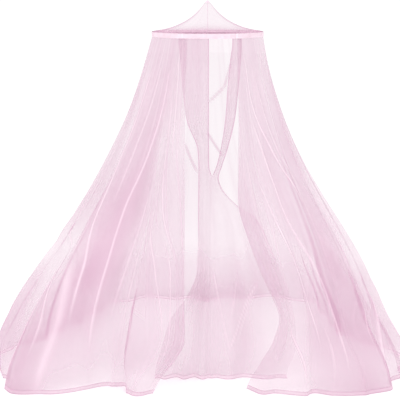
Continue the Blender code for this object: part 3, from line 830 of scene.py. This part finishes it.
def set_stops(node, stops):
    """Sets a colour ramp's stops, each a place and a colour's red, green and blue."""
    ramp_stops = node.color_ramp.elements
    while len(ramp_stops) < len(stops):
        ramp_stops.new(1.0)
    for stop, (place, colour) in zip(ramp_stops, stops):
        stop.position = place
        stop.color = (*colour, 1.0)


def blank(name):
    material = bpy.data.materials.new(name)
    material.use_nodes = True
    material.node_tree.nodes.clear()
    return material, material.node_tree


def stitches(tree, split, height, pitch):
    """A row of running stitches at a height up the cloth: 1 on the thread, 0 elsewhere."""
    off = add(tree, "ShaderNodeMath", {0: split.outputs[1], 1: height}, operation="SUBTRACT")
    off = add(tree, "ShaderNodeMath", {0: off}, operation="ABSOLUTE")
    row = add(tree, "ShaderNodeMapRange", {0: off, 1: 0.0008, 2: 0.0012, 3: 1.0, 4: 0.0})
    along = add(tree, "ShaderNodeMath", {0: split.outputs[0], 1: pitch}, operation="DIVIDE")
    along = add(tree, "ShaderNodeMath", {0: along}, operation="FRACT")
    dash = add(tree, "ShaderNodeMath", {0: along, 1: 0.65}, operation="LESS_THAN")
    return add(tree, "ShaderNodeMath", {0: row, 1: dash}, operation="MULTIPLY")


def net_material():
    """Warp-knitted polyester net in fine hexagons, heat set: sheer, matt, a pale thread that deepens to
    pink where it lies in layers, with a painted highlight along its creases, pleats and hem bands."""
    material, tree = blank("polyester net, knitted")
    mesh_pitch = 0.004  # real openings are 1.5 mm, too fine to show here
    clear_share = 0.80  # of the light passes one layer
    place = add(tree, "ShaderNodeUVMap", uv_map="cloth")
    split = add(tree, "ShaderNodeSeparateXYZ", {0: place})
    waves = None
    for turn in (0, 60, 120):
        lean = math.radians(turn)
        step = 2 * math.pi / mesh_pitch
        along = (step * math.cos(lean), step * math.sin(lean), 0)
        run = add(tree, "ShaderNodeVectorMath", {0: place, 1: along}, operation="DOT_PRODUCT")
        wave = add(tree, "ShaderNodeMath", {0: run.outputs["Value"]}, operation="COSINE")
        waves = wave if waves is None else add(tree, "ShaderNodeMath", {0: waves, 1: wave}, operation="ADD")
    threads = add(tree, "ShaderNodeMapRange", {0: waves, 1: -0.9, 2: 1.2, 3: 1.02, 4: 0.975})
    # Its finest pleats: bands where it lies closer, and thin painted highlight lines along their folds
    pleats = add(tree, "ShaderNodeAttribute", attribute_name="pleats")
    fall = add(tree, "ShaderNodeCombineXYZ", {0: pleats.outputs["Fac"], 1: split.outputs[1]})
    banding = add(tree, "ShaderNodeMapping", {0: fall, 3: (0.6, 0.35, 1.0)})
    band = add(tree, "ShaderNodeTexNoise", {"Vector": banding, "Scale": 1.0, "Detail": 0.0})
    streaks = add(tree, "ShaderNodeMapRange", {0: band, 1: 0.3, 2: 0.7, 3: 0.9, 4: 1.1})
    folding = add(tree, "ShaderNodeMapping", {0: fall, 3: (0.55, 0.6, 1.0), 1: (3.0, 7.0, 0.0)})
    fold = add(tree, "ShaderNodeTexNoise", {"Vector": folding, "Scale": 1.0, "Detail": 0.0})
    from_fold = add(tree, "ShaderNodeMath", {0: fold, 1: 0.5}, operation="SUBTRACT")
    from_fold = add(tree, "ShaderNodeMath", {0: from_fold}, operation="ABSOLUTE")
    painted_fold_highlight = add(tree, "ShaderNodeMapRange", {0: from_fold, 1: 0.0, 2: 0.055, 3: 0.20, 4: 0.0})
    layers = add(tree, "ShaderNodeAttribute", attribute_name="layers")
    light = add(tree, "ShaderNodeAttribute", attribute_name="light")
    # The hem: a turned double edge between its fold and its row of stitches, which both show darker, and a
    # painted highlight along the band between them
    hem = add(tree, "ShaderNodeMapRange", {0: split.outputs[1], 1: 0.0, 2: 0.025})
    bands = add(tree, "ShaderNodeValToRGB", {0: hem})
    set_stops(bands, HEM_BANDS)
    banded = add(tree, "ShaderNodeSeparateColor", {0: bands})
    shaded = add(tree, "ShaderNodeAttribute", attribute_name="hem")
    edges = add(tree, "ShaderNodeMath", {0: shaded.outputs["Fac"], 1: HEM_LAYERS}, operation="MULTIPLY")
    row = stitches(tree, split, HEM_STITCHES, STITCH_PITCH)
    sewn = add(tree, "ShaderNodeMath", {0: row, 1: banded.outputs[0]}, operation="ADD")
    edged = add(tree, "ShaderNodeMath", {0: sewn, 1: edges, 2: layers.outputs["Fac"]},
                operation="MULTIPLY_ADD")
    # the hem band's painted highlight, twice as strong on the back's hem as on the flaps'
    pale = add(tree, "ShaderNodeMapRange", {0: shaded.outputs["Fac"], 1: 0.0, 2: 1.0, 3: 2.0, 4: 1.0})
    pale = add(tree, "ShaderNodeMath", {0: pale, 1: banded.outputs[1]}, operation="MULTIPLY")
    painted_highlight = add(tree, "ShaderNodeMath", {0: pale, 1: light.outputs["Fac"]}, operation="MAXIMUM")
    near_hem = add(tree, "ShaderNodeMapRange", {0: split.outputs[1], 1: 0.15, 2: 0.60, 3: 0.0, 4: 1.0})
    painted_fold_highlight = add(tree, "ShaderNodeMath", {0: painted_fold_highlight, 1: near_hem}, operation="MULTIPLY")
    painted_fold_highlight = add(tree, "ShaderNodeMath", {0: painted_fold_highlight, 1: shaded.outputs["Fac"]}, operation="MULTIPLY")
    painted_highlight = add(tree, "ShaderNodeMath", {0: painted_highlight, 1: painted_fold_highlight}, operation="MAXIMUM")
    streaked = add(tree, "ShaderNodeMath", {0: edged, 1: streaks}, operation="MULTIPLY")
    woven = add(tree, "ShaderNodeMath", {0: streaked, 1: threads}, operation="MULTIPLY")
    clear = add(tree, "ShaderNodeMath", {0: clear_share, 1: woven}, operation="POWER")
    # painted highlight: where it is marked, the net is drawn less see-through and in its highlight colour
    lit = add(tree, "ShaderNodeMath", {0: painted_highlight, 1: -0.55, 2: 1.0}, operation="MULTIPLY_ADD")
    seen = add(tree, "ShaderNodeMath", {0: clear, 1: lit}, operation="MULTIPLY")
    colour = add(tree, "ShaderNodeMix", {0: painted_highlight, 6: linear(NET_SHADE), 7: linear(NET_PAINTED_HIGHLIGHT)},
                 data_type="RGBA")
    tint = colour.outputs["Result"]
    front = add(tree, "ShaderNodeBsdfDiffuse", {"Color": tint})
    back = add(tree, "ShaderNodeBsdfTranslucent", {"Color": tint})
    threads_lit = add(tree, "ShaderNodeMixShader", {0: 0.5, 1: front, 2: back})
    open_net = add(tree, "ShaderNodeBsdfTransparent")
    surface = add(tree, "ShaderNodeMixShader", {0: seen, 1: threads_lit, 2: open_net})
    add(tree, "ShaderNodeOutputMaterial", {0: surface})
    return material


def tape_material():
    """Woven polyester tape: a close plain weave, matt and nearly opaque, with a row of stitches
    near its lower edge, and paler where it is doubled."""
    material, tree = blank("polyester tape, woven")
    place = add(tree, "ShaderNodeUVMap", uv_map="cloth")
    split = add(tree, "ShaderNodeSeparateXYZ", {0: place})
    yarn = 2 * math.pi / 0.0016  # real yarns lie 0.3 mm apart, too fine to show
    across = add(tree, "ShaderNodeMath", {0: split.outputs[0], 1: yarn}, operation="MULTIPLY")
    across = add(tree, "ShaderNodeMath", {0: across}, operation="SINE")
    along = add(tree, "ShaderNodeMath", {0: split.outputs[1], 1: yarn}, operation="MULTIPLY")
    along = add(tree, "ShaderNodeMath", {0: along}, operation="SINE")
    weave = add(tree, "ShaderNodeMath", {0: across, 1: along}, operation="MULTIPLY")
    patch = add(tree, "ShaderNodeTexNoise", {"Vector": place, "Scale": 30.0, "Detail": 2.0})
    cloud = add(tree, "ShaderNodeMapRange", {0: patch, 1: 0.3, 2: 0.7, 3: 0.25, 4: 0.7})
    doubled = add(tree, "ShaderNodeAttribute", attribute_name="light")
    pale = add(tree, "ShaderNodeMath", {0: cloud, 1: doubled.outputs["Fac"]}, operation="MAXIMUM")
    cloth = add(tree, "ShaderNodeMix", {0: pale, 6: linear(TAPE_COLOUR), 7: linear(TAPE_PALE)},
                data_type="RGBA")
    row = stitches(tree, split, TAPE_STITCHES, STITCH_PITCH)
    colour = add(tree, "ShaderNodeMix", {0: row, 6: cloth.outputs["Result"], 7: linear(THREAD_COLOUR)},
                 data_type="RGBA")
    raised = add(tree, "ShaderNodeMath", {0: row, 1: 2.0, 2: weave}, operation="MULTIPLY_ADD")
    bump = add(tree, "ShaderNodeBump", {"Strength": 0.35, "Distance": 0.0004, "Height": raised})
    surface = add(tree, "ShaderNodeBsdfPrincipled",
                  {"Base Color": colour.outputs["Result"], "Roughness": 0.75, "Normal": bump})
    add(tree, "ShaderNodeOutputMaterial", {0: surface})
    return material


def ribbon_material():
    """Grosgrain ribbon, woven in polyester with ribs across it: a soft sheen, dyed a deeper pink."""
    material, tree = blank("polyester ribbon, grosgrain")
    place = add(tree, "ShaderNodeUVMap", uv_map="cloth")
    split = add(tree, "ShaderNodeSeparateXYZ", {0: place})
    ribs = add(tree, "ShaderNodeMath", {0: split.outputs[0], 1: 2 * math.pi / 0.0009}, operation="MULTIPLY")
    ribs = add(tree, "ShaderNodeMath", {0: ribs}, operation="SINE")
    # painted shade and highlight across the ribs: each rib is drawn paler on its crest
    shade = add(tree, "ShaderNodeMapRange", {0: ribs, 1: -1.0, 2: 1.0, 3: 0.0, 4: 0.45})
    colour = add(tree, "ShaderNodeMix", {0: shade, 6: linear(RIBBON_COLOUR), 7: linear(NET_PAINTED_HIGHLIGHT)},
                 data_type="RGBA")
    bump = add(tree, "ShaderNodeBump", {"Strength": 0.5, "Distance": 0.0003, "Height": ribs})
    surface = add(tree, "ShaderNodeBsdfPrincipled",
                  {"Base Color": colour.outputs["Result"], "Roughness": 0.6, "Normal": bump})
    add(tree, "ShaderNodeOutputMaterial", {0: surface})
    return material


def tube_material():
    """Extruded polyethylene tube: smooth, slightly waxy, off-white."""
    material, tree = blank("polyethylene tube, extruded")
    place = add(tree, "ShaderNodeTexCoord").outputs["Object"]
    cloud = add(tree, "ShaderNodeTexNoise", {"Vector": place, "Scale": 60.0})
    rough = add(tree, "ShaderNodeMapRange", {0: cloud, 3: 0.35, 4: 0.5})
    surface = add(tree, "ShaderNodeBsdfPrincipled", {"Base Color": linear(TUBE_COLOUR), "Roughness": rough})
    add(tree, "ShaderNodeOutputMaterial", {0: surface})
    return material


def floor_material():
    """Emulsion paint, rolled on: matt, plain and nearly white."""
    material, tree = blank("painted floor")
    surface = add(tree, "ShaderNodeBsdfDiffuse", {"Color": linear(FLOOR_COLOUR)})
    add(tree, "ShaderNodeOutputMaterial", {0: surface})
    return material


# ---------------------------------------------------------------- pieces
def dress(piece, material, slot, *nodes):
    piece.data.materials.clear()
    piece.data.materials.append(material)
    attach(piece, "root")
    if nodes:
        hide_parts(*nodes)
    return piece


def make_skirt(net):
    panel = dress(sheet_mesh("net_main_cloth", [main_panel()]), net, "net", "net_main")
    return panel


def make_front(net):
    panel = dress(sheet_mesh("net_front_cloth", front_panel()), net, "net", "net_front")
    return panel


def make_cap(net):
    cap = dress(sheet_mesh("cap_cloth", [cap_surface()], closed=True), net, "net", "cap")
    return cap


def make_casing(tape):
    casing = dress(sheet_mesh("casing_cloth", [casing_surface()], closed=True), tape, "tape", "casing")
    return casing


def make_loop(ribbon):
    loop = dress(sheet_mesh("hang_loop_cloth", [loop_surface()], closed=True), ribbon, "ribbon", "hang_loop")
    return loop


def make_stage():
    size = 30.0
    mesh = bpy.data.meshes.new("floor")
    corners = [(x * size, y * size, FLOOR - 0.001) for x, y in ((-1, -1), (1, -1), (1, 1), (-1, 1))]
    mesh.from_pydata(corners, [], [(0, 1, 2, 3)])
    mesh.materials.append(floor_material())
    floor = bpy.data.objects.new("floor", mesh)
    bpy.context.scene.collection.objects.link(floor)


def lamp(name, place, aim, size, power):
    data = bpy.data.lights.new(name, "AREA")
    data.size = size
    data.energy = power
    made = bpy.data.objects.new(name, data)
    made.location = place
    away = (aim[0] - place[0], aim[1] - place[1], aim[2] - place[2])
    made.rotation_euler = Vector(away).to_track_quat("-Z", "Y").to_euler()
    made.visible_camera = False
    bpy.context.scene.collection.objects.link(made)


def make_light():
    scene = bpy.context.scene
    world = bpy.data.worlds.new("studio")
    world.use_nodes = True
    world.node_tree.nodes["Background"].inputs[0].default_value = (1, 1, 1, 1)
    world.node_tree.nodes["Background"].inputs[1].default_value = SKY
    scene.world = world
    scene.view_settings.view_transform = "Standard"
    scene.cycles.transparent_max_bounces = 40  # the sheer net lies many layers deep
    lamp("key", (-3.0, -4.0, 2.5), (0, 0, -1.0), LAMP_SIZE, KEY_WATTS)
    lamp("fill", (3.5, -2.5, 1.5), (0, 0, -1.0), LAMP_SIZE, FILL_WATTS)


def make_camera():
    data = bpy.data.cameras.new("camera")
    data.sensor_width = SENSOR_MM
    data.lens = LENS_MM
    camera = bpy.data.objects.new("camera", data)
    camera.location = (EYE[0], EYE[1], EYE[2] + FLOOR)
    camera.rotation_euler = (math.pi / 2 - LOOK_DOWN, 0, 0)
    bpy.context.scene.collection.objects.link(camera)
    bpy.context.scene.camera = camera


def main():
    make_camera()
    make_light()
    make_stage()
    net = net_material()
    make_skirt(net)
    make_front(net)
    make_cap(net)
    make_casing(tape_material())
    make_loop(ribbon_material())
    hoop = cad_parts["hoop"]
    hoop.data.materials.clear()
    hoop.data.materials.append(tube_material())


main()
